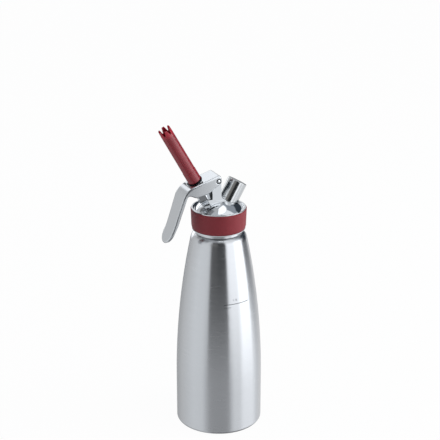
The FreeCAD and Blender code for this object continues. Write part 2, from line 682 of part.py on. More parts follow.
def inlet_gasket():
    return on_inlet_axis(tube(INLET_R, INLET_ROOT_R, SPOTFACE, inlet_seat_t))


def piercing_pin():
    """Hollow pin that opens the charger, pressed into the inlet."""
    shoulder = socket_floor_t + CHARGER_GASKET
    top = socket_floor_t + PIN_RISE
    pin = turned((PIN_HOLE_R, pin_root_t), (PIN_BORE_R, pin_root_t), (PIN_BORE_R, shoulder),
                 (PIN_HOLE_R + RUNNING, top), (PIN_HOLE_R, top))
    return on_inlet_axis(pin)


def charger_gasket():
    return on_inlet_axis(tube(SOCKET_R, PIN_BORE_R, socket_floor_t, socket_floor_t + CHARGER_GASKET))


def check_ball():
    return on_inlet_axis(Part.makeSphere(CHECK_BALL_R, vec(0, 0, ball_t)))


def check_spring():
    low = retainer_top_t + RUNNING
    high = ball_t - CHECK_BALL_R - RUNNING
    ring_r = check_bore_r - CHECK_WIRE_R - GAP
    return on_inlet_axis(coil(ring_r, CHECK_WIRE_R, low, high, CHECK_TURNS))


def check_retainer():
    return on_inlet_axis(tube(check_bore_r, RETAINER_HOLE_R, inlet_root_t, retainer_top_t))


def protective_cap():
    """Polished cap over the inlet's thread."""
    top = cap_t + CAP_LENGTH
    bore = cap_r - CAP_WALL
    cap = turned((bore, cap_t), (cap_r, cap_t, CAP_EDGE_R), (cap_r, top, CAP_EDGE_R), (0, top),
                 (0, cap_roof_t), (bore, cap_roof_t))
    return on_inlet_axis(cap)


def cap_liner():
    return on_inlet_axis(disc(cap_r - CAP_WALL, cap_roof_t - LINER_THICK, cap_roof_t))


# ---------------------------------------------------------------- lever
def lever_lines():
    """Corners of the lever's side, in (x, z), shared by its outside and its channel."""
    pivot = (PIVOT_X, pivot_z)
    to_handle = 270.0 - HANDLE_TILT
    to_flare = 270.0 - FLARE_TILT
    plate_foot = along(pivot, 90.0 + PLATE_TILT, PLATE_RISE)
    bend = along(plate_foot, 180.0 + PLATE_TILT, PLATE_LENGTH)
    flare = along(bend, to_handle, HANDLE_LENGTH)
    end = along(flare, to_flare, FLARE_LENGTH)
    return pivot, to_handle, to_flare, plate_foot, bend, flare, end


def lever_side():
    """Outside of the lever seen from the side: plate, cheeks and the handle's walls."""
    pivot, to_handle, to_flare, plate_foot, bend, flare, end = lever_lines()
    nose_side = along(pivot, PLATE_TILT, NOSE_R)
    nose_under = along(pivot, CHEEK_TILT - 90.0, NOSE_R)
    nose_top = crossing(plate_foot, PLATE_TILT, nose_side, PLATE_TILT + 90.0)
    nose_low = crossing(nose_under, CHEEK_TILT, nose_side, PLATE_TILT + 90.0)
    cheek = along(nose_under, 180.0 + CHEEK_TILT, CHEEK_RUN)
    belly = along(cheek, 180.0 + CHEEK_BELLY_TILT, CHEEK_BELLY_RUN)
    wall = along(bend, to_handle + 90.0, HANDLE_DEEP)
    wall_end = along(end, to_flare + 90.0, HANDLE_DEEP_END)
    arch = crossing(wall, to_handle, belly, 180.0 - CHEEK_RISE_TILT)
    wall_flare = crossing(wall, to_handle, wall_end, to_flare)
    return outline([nose_top + (NOSE_TOP_R,), bend + (BEND_R,), flare + (FLARE_R,), end + (0,),
                    wall_end + (0,), wall_flare + (FLARE_R,), arch + (ARCH_R,),
                    belly + (CHEEK_LOW_R,), cheek + (CHEEK_MID_R,), nose_low + (NOSE_R,)])


def lever_channel():
    """Space inside the folded sheet, open below the cheeks and behind the handle."""
    pivot, to_handle, to_flare, plate_foot, bend, flare, end = lever_lines()
    plate_in = along(plate_foot, PLATE_TILT - 90.0, SHEET)
    handle_in = along(flare, to_handle + 90.0, SHEET)
    flare_in = along(end, to_flare + 90.0, SHEET)
    bend_in = crossing(plate_in, PLATE_TILT, handle_in, to_handle)
    knee_in = crossing(handle_in, to_handle, flare_in, to_flare)
    right = along(plate_in, PLATE_TILT, PLATE_LENGTH)
    low = along(flare_in, to_flare, PLATE_LENGTH)
    return outline([right + (0,), bend_in + (BEND_R - SHEET,), knee_in + (FLARE_R,), low + (0,),
                    (right[0], low[1], 0)])


def lever_face(inset):
    """Lever seen from the handle's side: a wide plate, a narrower handle with a round end."""
    bend, flare, end = lever_lines()[-3:]
    plate_half = LEVER_WIDE / 2.0 - inset
    handle_half = plate_half - HANDLE_NARROWER
    low = end[1] + HANDLE_END_TRIM + inset
    high = pivot_z + PLATE_LENGTH
    top_z = bend[1] - NARROWING_DROP
    low_z = top_z - NARROWING_HIGH
    wire = outline([
        (plate_half, high, 0), (plate_half, top_z, NARROWING_R),
        (handle_half, low_z, NARROWING_R), (handle_half, low, handle_half),
        (-handle_half, low, handle_half), (-handle_half, low_z, NARROWING_R),
        (-plate_half, top_z, NARROWING_R), (-plate_half, high, 0)], "YZ")
    span = 2 * BOTTLE_R
    return Part.Face(wire).extrude(vec(span, 0, 0)).translated(vec(-span, 0, 0)
                                                               + vec(BOTTLE_R / 4.0, 0, 0))


def lever_outer_edges(blank):
    """Long edges where the plate and the handle's face meet the side walls."""
    pivot, to_handle, to_flare, plate_foot, bend, flare, end = lever_lines()
    nose_top = along(plate_foot, PLATE_TILT, NOSE_R)
    path = outline([nose_top + (0,), bend + (BEND_R,), flare + (FLARE_R,), end + (0,)])
    rim = [edge for edge in path.Edges if abs(edge.Length - math.dist(end, nose_top)) > GAP]
    line = Part.makeCompound(rim)
    chosen = []
    for edge in blank.Edges:
        low, high = edge.ParameterRange
        samples = [edge.valueAt(low + (high - low) * k) for k in (0.1, 0.5, 0.9)]
        flat = all(Part.Vertex(p.x, 0, p.z).distToShape(line)[0] < RUNNING for p in samples)
        crossways = samples[0].distanceToPoint(samples[2])
        if flat and abs(samples[0].y - samples[2].y) < 0.99 * crossways:
            chosen.append(edge)
    return chosen


def stem_hole_tool():
    """Hole through the plate, square to it, that clears the stem over the whole squeeze."""
    top_x, top_z = on_axis_xz(plate_top_s)
    middle = along((top_x, top_z), 180.0 + PLATE_TILT, STEM_HOLE_SHIFT)
    hole = disc(STEM_HOLE_R, -NOSE_R, NOSE_R)
    hole.rotate(vec(0, 0, 0), vec(0, 1, 0), -PLATE_TILT)
    return hole.translated(vec(middle[0], 0, middle[1]))


def on_axis_xz(s):
    return -s * math.sin(valve_tilt), valve_foot_z + s * math.cos(valve_tilt)


def lever():
    """Folded steel sheet: plate, two cheeks and a channelled handle."""
    blank = slab(lever_side(), LEVER_WIDE / 2.0).common(lever_face(0.0))
    blank = blank.makeFillet(LEVER_EDGE_R, lever_outer_edges(blank))
    channel = slab(lever_channel(), LEVER_WIDE / 2.0).common(lever_face(SHEET))
    stem_hole = stem_hole_tool()
    recess_half = LEVER_WIDE / 2.0 - RIVET_RECESS_DEEP
    recess = pivot_cylinder(rivet_recess_r, 2 * LEVER_WIDE).cut(
        pivot_cylinder(rivet_recess_r, 2 * recess_half))
    return blank.cut([channel, stem_hole, pivot_cylinder(PIN_R + RUNNING, 2 * LEVER_WIDE), recess])


def pivot_pin():
    return pivot_cylinder(PIN_R, LEVER_WIDE)


# ---------------------------------------------------------------- build
PIECES = {
    "bottle": bottle,
    "head_body": head_body,
    "grip_band": grip_band,
    "head_gasket": head_gasket,
    "stem_guide": stem_guide,
    "guide_gasket": guide_gasket,
    "valve_stem": valve_stem,
    "stem_o_rings": stem_o_rings,
    "valve_seal": valve_seal,
    "stem_collar": stem_collar,
    "valve_spring": valve_spring,
    "tip_adapter": tip_adapter,
    "adapter_o_ring": adapter_o_ring,
    "decorator_tip": decorator_tip,
    "charger_inlet": charger_inlet,
    "inlet_gasket": inlet_gasket,
    "piercing_pin": piercing_pin,
    "charger_gasket": charger_gasket,
    "check_ball": check_ball,
    "check_spring": check_spring,
    "check_retainer": check_retainer,
    "protective_cap": protective_cap,
    "cap_liner": cap_liner,
    "lever": lever,
    "pivot_pin": pivot_pin,
}

os.makedirs("parts", exist_ok=True)
for name, make in PIECES.items():
    shape = make()
    shape.exportStep("parts/" + name + ".step")
    print(name, len(shape.Solids), round(shape.Volume / 1000.0, 3), "cm3", shape.isValid())
print("stroke", round(stroke, 3), "mm for", round(VALVE_TILT - PLATE_TILT - SQUEEZE_SPARE, 2), "degrees")
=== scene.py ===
import math

import bmesh
import bpy
from mathutils import Matrix, Vector


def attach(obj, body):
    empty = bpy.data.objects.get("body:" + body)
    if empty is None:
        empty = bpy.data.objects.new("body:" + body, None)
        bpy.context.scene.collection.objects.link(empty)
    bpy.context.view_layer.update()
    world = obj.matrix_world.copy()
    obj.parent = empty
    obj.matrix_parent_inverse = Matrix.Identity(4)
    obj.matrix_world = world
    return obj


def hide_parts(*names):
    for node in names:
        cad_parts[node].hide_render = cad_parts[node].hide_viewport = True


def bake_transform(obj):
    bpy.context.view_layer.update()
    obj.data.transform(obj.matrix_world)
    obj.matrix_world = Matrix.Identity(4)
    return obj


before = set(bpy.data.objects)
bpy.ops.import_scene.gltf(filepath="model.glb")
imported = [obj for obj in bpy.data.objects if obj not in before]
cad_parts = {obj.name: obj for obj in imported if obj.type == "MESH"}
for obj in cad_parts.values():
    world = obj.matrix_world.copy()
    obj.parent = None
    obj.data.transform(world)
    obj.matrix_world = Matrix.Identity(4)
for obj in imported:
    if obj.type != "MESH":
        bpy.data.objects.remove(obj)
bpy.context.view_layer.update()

MM = 0.001

# ------------------------------------------------------------------ places on the model
VALVE_TILT = math.radians(29.5)
VALVE_AXIS = Vector((-math.sin(VALVE_TILT), 0, math.cos(VALVE_TILT)))
VALVE_FOOT = Vector((0, 0, 239.0)) * MM
TIP_TOP = 128.0 * MM            # the prongs' tips, along the valve's axis from its foot
GLOW_FROM, GLOW_TO = 10.0 * MM, 5.0 * MM        # where the painted glow of the thin prongs fades in, below their tips
PIVOT = Vector((-5.3, 0, 288.1)) * MM
PIN_R = 1.9 * MM
RECESS_R = 2.9 * MM             # the sunk ring round the pin's end
RECESS_EDGE = 0.05 * MM
SHEET_SOFT = 2.0 * MM           # how far from its edges tumbling has rounded the sheet
CHEEK_FROM, CHEEK_TO = -55.0 * MM, 5.0 * MM     # the length over which the lever's cheeks bow
CHEEK_LEAN = (-0.27, -0.07)     # how far their normals lean at its two ends
LEVER_HALF = 11.6 * MM          # half the lever's width, where the pin's ends are
RIVET_RISE = 0.45 * MM          # height of the dome on each end of the pin
RIVET_FOOT = 0.1 * MM           # how far it reaches into the pin
RIVET_BALL = (PIN_R ** 2 + RIVET_RISE ** 2) / (2 * RIVET_RISE)      # the dome's own radius
COIL_R = 5.3 * MM               # the valve's spring, to the middle of its wire
WIRE_R = 0.45 * MM
COIL_FOOT, COIL_TOP = 43.7 * MM, 49.4 * MM      # along the valve's axis, from the axis' foot
COIL_TURNS = 3.5
BOTTLE_R = 48.0 * MM
STRAIGHT_TOP = 53.0 * MM        # top of the bottle's straight wall
TAPER_R = 830.6 * MM            # radius of the curve that draws it in above that

# How many lines or patches a surface's pattern has in a metre, and how far apart that is.
# Hairlines, tool marks and grain of about 0.1 mm or less are too fine to show, so they are
# drawn coarser than they are.
HAIRLINES = 1700.0              # 0.6 mm, coarser than they are
HAIR_STRETCHES = 9.0            # how often a hairline changes on its way round
POLISHING_HAZE = 180.0          # 5.6 mm
TUMBLED_GRAIN = 900.0           # 1.1 mm, coarser than it is
TOOL_MARKS = 1400.0             # 0.7 mm, coarser than they are
DARK_STEEL_MOTTLE = 900.0            # 1.1 mm, mottle of the near black adapter steel, whose colour is a painted shade
SILICONE_GRAIN = 1200.0         # 0.8 mm, coarser than it is
PLASTIC_FLOW = 60.0             # 17 mm
ETCHED_GRAIN = 1500.0           # 0.7 mm, coarser than it is
SEAL_MOTTLE = 700.0             # 1.4 mm

# ------------------------------------------------------------------ colour and nodes
def linear(code):
    """An sRGB hex colour as the linear RGBA that a shader's socket takes."""
    channels = [int(code[i:i + 2], 16) / 255 for i in (1, 3, 5)]
    return [c / 12.92 if c <= 0.04045 else ((c + 0.055) / 1.055) ** 2.4 for c in channels] + [1.0]


def add(tree, kind, inputs=None, stops=None, **settings):
    """One node with its settings, its ramp's stops, and its sockets' values or links."""
    node = tree.nodes.new(kind)
    for name, value in settings.items():
        setattr(node, name, value)
    if stops:
        ramp = node.color_ramp.elements
        while len(ramp) < len(stops):
            ramp.new(1.0)
        for element, (place, code) in zip(ramp, stops):
            element.position = place
            element.color = linear(code)
    for name, value in (inputs or {}).items():
        socket = node.inputs[name]
        if isinstance(value, bpy.types.NodeSocket):
            tree.links.new(value, socket)
        else:
            socket.default_value = value
    return node


def blank_material(name):
    """A new material and its empty tree."""
    material = bpy.data.materials.new(name)
    material.use_nodes = True
    material.node_tree.nodes.clear()
    return material, material.node_tree


def direct_look(tree):
    """1 for a ray that comes from the camera, also through a clear part, and 0 for others."""
    seen = add(tree, "ShaderNodeLightPath")
    return add(tree, "ShaderNodeMath", {0: seen.outputs["Is Camera Ray"],
                                        1: seen.outputs["Is Transmission Ray"]},
               operation="MAXIMUM").outputs[0]


# ------------------------------------------------------------------ camera
VIEW_AZIMUTH = math.radians(-25.7)
VIEW_PITCH = math.radians(20.743)
VIEW_DISTANCE = 1.438
AIM = Vector((0, 0, 0.23935))
AIM_RIGHT = 1.42 * MM           # the bottle's axis stands this far left of the frame's middle

forward = Vector((-math.sin(VIEW_AZIMUTH) * math.cos(VIEW_PITCH),
                  math.cos(VIEW_AZIMUTH) * math.cos(VIEW_PITCH), -math.sin(VIEW_PITCH)))
right = Vector((math.cos(VIEW_AZIMUTH), math.sin(VIEW_AZIMUTH), 0))
up = right.cross(forward)
lens = bpy.data.cameras.new("camera")
lens.lens = 107.84
lens.sensor_width = 36.0
camera = bpy.data.objects.new("camera", lens)
place = Matrix((right, up, -forward)).transposed().to_4x4()
place.translation = AIM + right * AIM_RIGHT - forward * VIEW_DISTANCE
camera.matrix_world = place
bpy.context.collection.objects.link(camera)
bpy.context.scene.camera = camera
bpy.context.scene.view_settings.view_transform = "Standard"

# ------------------------------------------------------------------ studio
# What the metal mirrors. Angles are degrees round the object, counted to the right of the
# set's front, where the camera stands, and degrees above the horizon.
FRONT = math.radians(115.7)
COOL_BLUE = 1.3                 # a cool card gains this much more blue than it loses red
CARDS = {   # middle, half its width, lower and upper edge, tone, softness of its edges, cool
    "ceiling": (0, 180, 50, 90, 0.54, 8, 0.03),
    "floor before the set's front": (0, 40, -90, -18, 0.56, 7, 0.03),
    "floor under the lamp": (87, 47, -90, -14, 0.90, 8, 0.03),
    "lightest part of that floor": (90, 28, -27, -11, 1.3, 4, 0.03),
    "shade under the set": (0, 180, -90, -39, 0.22, 6, 0.03),
    "light floor on the left": (-72, 44, -90, -42, 0.65, 6, 0.03),
    "back wall on the right": (128, 34, 24, 65, 0.36, 3, 0.09),
    "black flag about the camera": (0, 29, -18, 56, 0.03, 2.5, 0.05),
    "grey back of the flag's left side": (-20, 14, 9, 30, 0.24, 6, -0.02),
    "paper over the camera": (-10, 38, 57, 74, 0.56, 3, 0.05),
    "dark shelf on the left": (-70, 15, 34, 74, 0.24, 4, 0.06),
    "white wall on the right": (62, 33, -15, 36, 1.5, 3, 0.03),
    "upper part of the white wall": (62, 33, 36, 66, 1.0, 3, 0.03),
    "the key softbox": (84, 19, -18, 28, 2.1, 3, 0.03),
    "overhead panel": (72, 76, 67, 90, 1.6, 3, 0.03),
    "dark flag behind the lamp": (123, 19, -15, 8, 0.03, 4, 0.2),
    "black flag at the back": (143, 27, -3, 36, 0.05, 3, 0.2),
    "table's far edge": (-176, 20, -23, -7, 0.28, 4, 0.03),
    "window light at the back": (-152, 14, -5, 17, 1.7, 3, 0.03),
    "paper behind the set": (-157, 20, 20, 42, 1.2, 3, 0.03),
    "dark beam over the paper": (-170, 34, 42, 56, 0.10, 3, 0.1),
    "dark seam in the paper": (-153, 3.5, 22, 44, 0.04, 1.5, 0.03),
    "dark doorway": (-120, 9, 30, 46, 0.18, 3, 0.03),
}
world = bpy.data.worlds.new("studio")
bpy.context.scene.world = world
world.use_nodes = True
room = world.node_tree
room.nodes.clear()
look = add(room, "ShaderNodeTexCoord").outputs["Generated"]
level = add(room, "ShaderNodeSeparateXYZ", {"Vector": look}).outputs["Z"]
flat = add(room, "ShaderNodeVectorMath", {0: look, 1: (1, 1, 0)}, operation="MULTIPLY").outputs[0]
heading = add(room, "ShaderNodeVectorMath", {0: flat}, operation="NORMALIZE").outputs[0]


def card(behind, name, middle, half_width, low, high, tone, edge, cool):
    """A card or panel before what lies behind it: its middle and half its width round the
    object, its lower and upper edge, how bright it is, how soft its edges are, and how far
    its colour leans from grey to blue."""
    turn = math.radians(middle) - FRONT
    facing = add(room, "ShaderNodeVectorMath", {0: heading,
                                                1: (math.cos(turn), math.sin(turn), 0)},
                 operation="DOT_PRODUCT")
    sides = [(facing.outputs["Value"], math.cos(math.radians(min(half_width + edge, 180.0))),
              math.cos(math.radians(max(half_width - edge, 0.0))))]
    if low > -90:
        sides.append((level, math.sin(math.radians(low - edge)),
                      math.sin(math.radians(low + edge))))
    if high < 90:
        sides.append((level, math.sin(math.radians(high + edge)),
                      math.sin(math.radians(high - edge))))
    mask = 1.0
    for value, outside, inside in sides:
        part = add(room, "ShaderNodeMapRange", {"Value": value, "From Min": outside,
                                                "From Max": inside},
                   interpolation_type="SMOOTHSTEP")
        mask = add(room, "ShaderNodeMath", {0: mask, 1: part.outputs["Result"]},
                   operation="MULTIPLY").outputs[0]
    colour = (tone * (1 - cool), tone, tone * (1 + COOL_BLUE * cool), 1)
    return add(room, "ShaderNodeMix", {"Factor": mask, "A": behind, "B": colour},
               data_type="RGBA", label=name).outputs["Result"]


# the walls' tone all round: from the back over the left side, the front (0.5) and the right
swung = add(room, "ShaderNodeMapping", {"Vector": look, "Rotation": (0, 0, FRONT)})
around = add(room, "ShaderNodeTexGradient", {"Vector": swung.outputs[0]}, gradient_type="RADIAL")
studio = add(room, "ShaderNodeValToRGB", {"Fac": around.outputs["Fac"]}, stops=[
    (0.00, "#E6E8EA"), (0.08, "#AEB0B2"), (0.17, "#D3D5D7"), (0.30, "#ECF0F4"),
    (0.40, "#E9EDF1"), (0.60, "#E6E8EA"), (0.66, "#E4E7E9"), (0.80, "#EFEFF1"),
    (1.00, "#E6E8EA")]).outputs["Color"]
for name, values in CARDS.items():
    studio = card(studio, name, *values)
paper = add(room, "ShaderNodeMix", {"Factor": direct_look(room), "A": studio, "B": (1, 1, 1, 1)},
            data_type="RGBA")
glow = add(room, "ShaderNodeBackground", {"Color": paper.outputs["Result"], "Strength": 1.0})
add(room, "ShaderNodeOutputWorld", {"Surface": glow.outputs[0]})


def softbox(name, angle, rise, distance, wide, high, power):
    """An area lamp round the object, aimed at its middle."""
    lamp = bpy.data.lights.new(name, "AREA")
    lamp.shape = "RECTANGLE"
    lamp.size = wide
    lamp.size_y = high
    lamp.energy = power
    turn = math.radians(angle) - FRONT
    tilt = math.radians(rise)
    spot = Vector((math.cos(turn) * math.cos(tilt), math.sin(turn) * math.cos(tilt),
                   math.sin(tilt))) * distance
    box = bpy.data.objects.new(name, lamp)
    box.matrix_world = (Matrix.Translation(spot + AIM)
                        @ spot.to_track_quat("Z", "Y").to_matrix().to_4x4())
    box.visible_glossy = False      # the metal mirrors its card in the studio
    bpy.context.collection.objects.link(box)


softbox("key softbox", angle=92, rise=8, distance=1.6, wide=0.95, high=1.1, power=15.5)
softbox("fill softbox", angle=-80, rise=15, distance=1.6, wide=1.2, high=1.2, power=3.5)

# ------------------------------------------------------------------ floor
FLOOR_HALF = 30.0
FLOOR_WHITE = 0.96              # how much of what the camera sees of it is plain white
floor_mesh = bpy.data.meshes.new("floor")
floor_shape = bmesh.new()
bmesh.ops.create_grid(floor_shape, x_segments=1, y_segments=1, size=FLOOR_HALF)
floor_shape.to_mesh(floor_mesh)
floor_shape.free()
floor = bpy.data.objects.new("floor", floor_mesh)
bpy.context.collection.objects.link(floor)
floor.visible_glossy = False
paint, tree = blank_material("white studio floor")
matte = add(tree, "ShaderNodeBsdfDiffuse", {"Color": linear("#F4F4F4")})
lit = add(tree, "ShaderNodeEmission", {"Color": (1, 1, 1, 1), "Strength": 1.0})
white = add(tree, "ShaderNodeMath", {0: direct_look(tree), 1: FLOOR_WHITE}, operation="MULTIPLY")
mixed = add(tree, "ShaderNodeMixShader", {0: white.outputs[0], 1: matte.outputs[0],
                                          2: lit.outputs[0]})
add(tree, "ShaderNodeOutputMaterial", {"Surface": mixed.outputs[0]})
floor_mesh.materials.append(paint)


# ------------------------------------------------------------------ materials
def brushed_stainless():
    """304 stainless tube, brushed round its axis: fine hairlines run round it, so its
    highlights spread up and down."""
    material, tree = blank_material("brushed stainless steel")
    at = add(tree, "ShaderNodeTexCoord")
    turned = add(tree, "ShaderNodeTexGradient", {"Vector": at.outputs["Object"]},
                 gradient_type="RADIAL")
    split = add(tree, "ShaderNodeSeparateXYZ", {"Vector": at.outputs["Object"]})
    lines = add(tree, "ShaderNodeMath", {0: split.outputs["Z"], 1: HAIRLINES},
                operation="MULTIPLY")
    along = add(tree, "ShaderNodeMath", {0: turned.outputs["Fac"], 1: HAIR_STRETCHES},
                operation="MULTIPLY")
    brush = add(tree, "ShaderNodeCombineXYZ", {"X": along.outputs[0], "Z": lines.outputs[0]})
    hair = add(tree, "ShaderNodeTexNoise", {"Vector": brush.outputs[0], "Scale": 1.0,
                                            "Detail": 3.0, "Roughness": 0.6})
    tint = add(tree, "ShaderNodeValToRGB", {"Fac": hair.outputs["Fac"]},
               stops=[(0.30, "#D1D2D4"), (0.70, "#D6D7D9")])
    rough = add(tree, "ShaderNodeMapRange", {"Value": hair.outputs["Fac"], "To Min": 0.24,
                                             "To Max": 0.29})
    bump = add(tree, "ShaderNodeBump", {"Height": hair.outputs["Fac"], "Strength": 0.012,
                                        "Distance": 0.0001})
    upright = add(tree, "ShaderNodeCombineXYZ", {"Z": 1.0})
    steel = add(tree, "ShaderNodeBsdfPrincipled", {
        "Base Color": tint.outputs["Color"], "Metallic": 1.0, "Anisotropic": 0.8,
        "Roughness": rough.outputs["Result"], "Normal": bump.outputs["Normal"],
        "Tangent": upright.outputs["Vector"]})
    add(tree, "ShaderNodeOutputMaterial", {"Surface": steel.outputs[0]})
    return material


def grained(name, code, metallic, scale, clear, hazy, detail=2.0):
    """One colour all over, its roughness drifting between two values with a fine noise."""
    material, tree = blank_material(name)
    at = add(tree, "ShaderNodeTexCoord")
    haze = add(tree, "ShaderNodeTexNoise", {"Vector": at.outputs["Object"], "Scale": scale,
                                            "Detail": detail})
    rough = add(tree, "ShaderNodeMapRange", {"Value": haze.outputs["Fac"], "To Min": clear,
                                             "To Max": hazy})
    surface = add(tree, "ShaderNodeBsdfPrincipled", {
        "Base Color": linear(code), "Metallic": metallic, "Roughness": rough.outputs["Result"]})
    add(tree, "ShaderNodeOutputMaterial", {"Surface": surface.outputs[0]})
    return material


def satin_stainless():
    """Pressed sheet, tumbled bright: clean reflections, softened by a fine even grain and
    bent by the slight bow that pressing leaves in its flat cheeks. The ring of the rivet's
    recess has a painted shade: its colour is darkened there."""
    material, tree = blank_material("tumbled stainless sheet")
    at = add(tree, "ShaderNodeTexCoord")
    grain = add(tree, "ShaderNodeTexNoise", {"Vector": at.outputs["Object"], "Scale": TUMBLED_GRAIN,
                                             "Detail": 3.0})
    rough = add(tree, "ShaderNodeMapRange", {"Value": grain.outputs["Fac"], "To Min": 0.09,
                                             "To Max": 0.15})
    facing = add(tree, "ShaderNodeBevel", {"Radius": SHEET_SOFT}, samples=6).outputs["Normal"]
    across = add(tree, "ShaderNodeSeparateXYZ", {"Vector": facing})
    spot = add(tree, "ShaderNodeSeparateXYZ", {"Vector": at.outputs["Object"]})
    steep = add(tree, "ShaderNodeMath", {0: across.outputs["Y"]}, operation="ABSOLUTE")
    cheek = add(tree, "ShaderNodeMapRange", {"Value": steep.outputs[0], "From Min": 0.9,
                                             "From Max": 0.99})
    bow = add(tree, "ShaderNodeMapRange", {
        "Value": spot.outputs["X"], "From Min": CHEEK_FROM, "From Max": CHEEK_TO,
        "To Min": CHEEK_LEAN[0], "To Max": CHEEK_LEAN[1]})
    lean = add(tree, "ShaderNodeMath", {0: cheek.outputs["Result"], 1: bow.outputs["Result"]},
               operation="MULTIPLY")
    push = add(tree, "ShaderNodeCombineXYZ", {"X": lean.outputs[0]})
    bent = add(tree, "ShaderNodeVectorMath", {0: facing, 1: push.outputs[0]}, operation="ADD")
    bowed = add(tree, "ShaderNodeVectorMath", {0: bent.outputs[0]}, operation="NORMALIZE")
    level_with = add(tree, "ShaderNodeVectorMath", {0: at.outputs["Object"], 1: (1, 0, 1)},
                     operation="MULTIPLY")
    from_pin = add(tree, "ShaderNodeVectorMath", {0: level_with.outputs[0], 1: tuple(PIVOT)},
                   operation="DISTANCE")
    # painted shade: the sunk ring round the pin's end is darkened in colour, where the recess lies
    # in shadow
    painted_recess_shade = add(tree, "ShaderNodeMapRange", {
        "Value": from_pin.outputs["Value"], "From Min": RECESS_R + RECESS_EDGE,
        "From Max": RECESS_R - RECESS_EDGE})
    tint = add(tree, "ShaderNodeMix", {"Factor": painted_recess_shade.outputs["Result"],
                                       "A": linear("#D8DADC"), "B": linear("#33363B")},
               data_type="RGBA")
    steel = add(tree, "ShaderNodeBsdfPrincipled", {
        "Base Color": tint.outputs["Result"], "Metallic": 1.0,
        "Roughness": rough.outputs["Result"], "Normal": bowed.outputs[0]})
    add(tree, "ShaderNodeOutputMaterial", {"Surface": steel.outputs[0]})
    return material


def silicone():
    """Moulded silicone rubber, matte with a soft sheen that lifts its colour at the edges."""
    material, tree = blank_material("dark red silicone")
    at = add(tree, "ShaderNodeTexCoord")
    grain = add(tree, "ShaderNodeTexNoise", {"Vector": at.outputs["Object"],
                                             "Scale": SILICONE_GRAIN, "Detail": 4.0})
    tint = add(tree, "ShaderNodeValToRGB", {"Fac": grain.outputs["Fac"]},
               stops=[(0.35, "#7C2129"), (0.65, "#852730")])
    bump = add(tree, "ShaderNodeBump", {"Height": grain.outputs["Fac"], "Strength": 0.12,
                                        "Distance": 0.0002})
    rubber = add(tree, "ShaderNodeBsdfPrincipled", {
        "Base Color": tint.outputs["Color"], "Roughness": 0.55, "IOR": 1.43,
        "Sheen Weight": 0.08, "Sheen Roughness": 0.5, "Normal": bump.outputs["Normal"]})
    add(tree, "ShaderNodeOutputMaterial", {"Surface": rubber.outputs[0]})
    return material


def moulded_plastic():
    """Injection-moulded polypropylene, glossy, deep red all through. The thin prongs have a
    painted glow: a brighter red in their colour that stands in for the light coming through them."""
    material, tree = blank_material("deep red polypropylene")
    at = add(tree, "ShaderNodeTexCoord")
    flow = add(tree, "ShaderNodeTexNoise", {"Vector": at.outputs["Object"],
                                            "Scale": PLASTIC_FLOW, "Detail": 2.0})
    tint = add(tree, "ShaderNodeValToRGB", {"Fac": flow.outputs["Fac"]},
               stops=[(0.3, "#801F29"), (0.7, "#89212C")])
    height = add(tree, "ShaderNodeVectorMath", {0: at.outputs["Object"], 1: tuple(VALVE_AXIS)},
                 operation="DOT_PRODUCT")
    crown = VALVE_FOOT.dot(VALVE_AXIS) + TIP_TOP
    painted_glow_mask = add(tree, "ShaderNodeMapRange", {"Value": height.outputs["Value"],
                                            "From Min": crown - GLOW_FROM,
                                            "From Max": crown - GLOW_TO})
    # painted glow: the prongs' colour turns a brighter red towards their tips, for the light that
    # comes through them
    glow = add(tree, "ShaderNodeMix", {"Factor": painted_glow_mask.outputs["Result"],
                                       "A": tint.outputs["Color"], "B": linear("#A31A2C")},
               data_type="RGBA")
    plastic = add(tree, "ShaderNodeBsdfPrincipled", {
        "Base Color": glow.outputs["Result"], "Roughness": 0.27, "IOR": 1.49,
        "Specular IOR Level": 0.65})
    add(tree, "ShaderNodeOutputMaterial", {"Surface": plastic.outputs[0]})
    return material


def etched_steel():
    """Laser-etched steel: a matt dark grey, slightly uneven."""
    material, tree = blank_material("laser etched steel")
    at = add(tree, "ShaderNodeTexCoord")
    mottle = add(tree, "ShaderNodeTexNoise", {"Vector": at.outputs["Object"],
                                              "Scale": ETCHED_GRAIN})
    tint = add(tree, "ShaderNodeValToRGB", {"Fac": mottle.outputs["Fac"]},
               stops=[(0.35, "#303236"), (0.65, "#3E4044")])
    steel = add(tree, "ShaderNodeBsdfPrincipled", {
        "Base Color": tint.outputs["Color"], "Metallic": 0.3, "Roughness": 0.7})
    add(tree, "ShaderNodeOutputMaterial", {"Surface": steel.outputs[0]})
    return material


brushed = brushed_stainless()
# cast and polished: clean reflections with a faint uneven haze
polished = grained("polished stainless steel", "#DCDEE0", 1.0, POLISHING_HAZE, 0.03, 0.09, 4.0)
# turned to a fine finish: the same haze, stronger, so its reflections are softer
turned = grained("fine turned stainless steel", "#D0D1D1", 1.0, POLISHING_HAZE, 0.12, 0.18, 4.0)
satin = satin_stainless()
# turned fittings inside the head: duller than the outside, with fine tool marks
machined = grained("machined steel", "#C4C6C8", 1.0, TOOL_MARKS, 0.2, 0.35)
# near black, with dull highlights: a painted shade, the dark round the tip's base given to the
# adapter as its colour
shade_dark_steel = grained("near black steel for painted shade", "#232326", 1.0, DARK_STEEL_MOTTLE, 0.28, 0.40)
etched = etched_steel()
red_silicone = silicone()
red_plastic = moulded_plastic()
# moulded seals and the cap's liner: plain, dull, slightly mottled
nitrile = grained("black nitrile rubber", "#1C1C1E", 0.0, SEAL_MOTTLE, 0.45, 0.65)
liner = grained("white polyethylene", "#DCDCD6", 0.0, SEAL_MOTTLE, 0.45, 0.65)

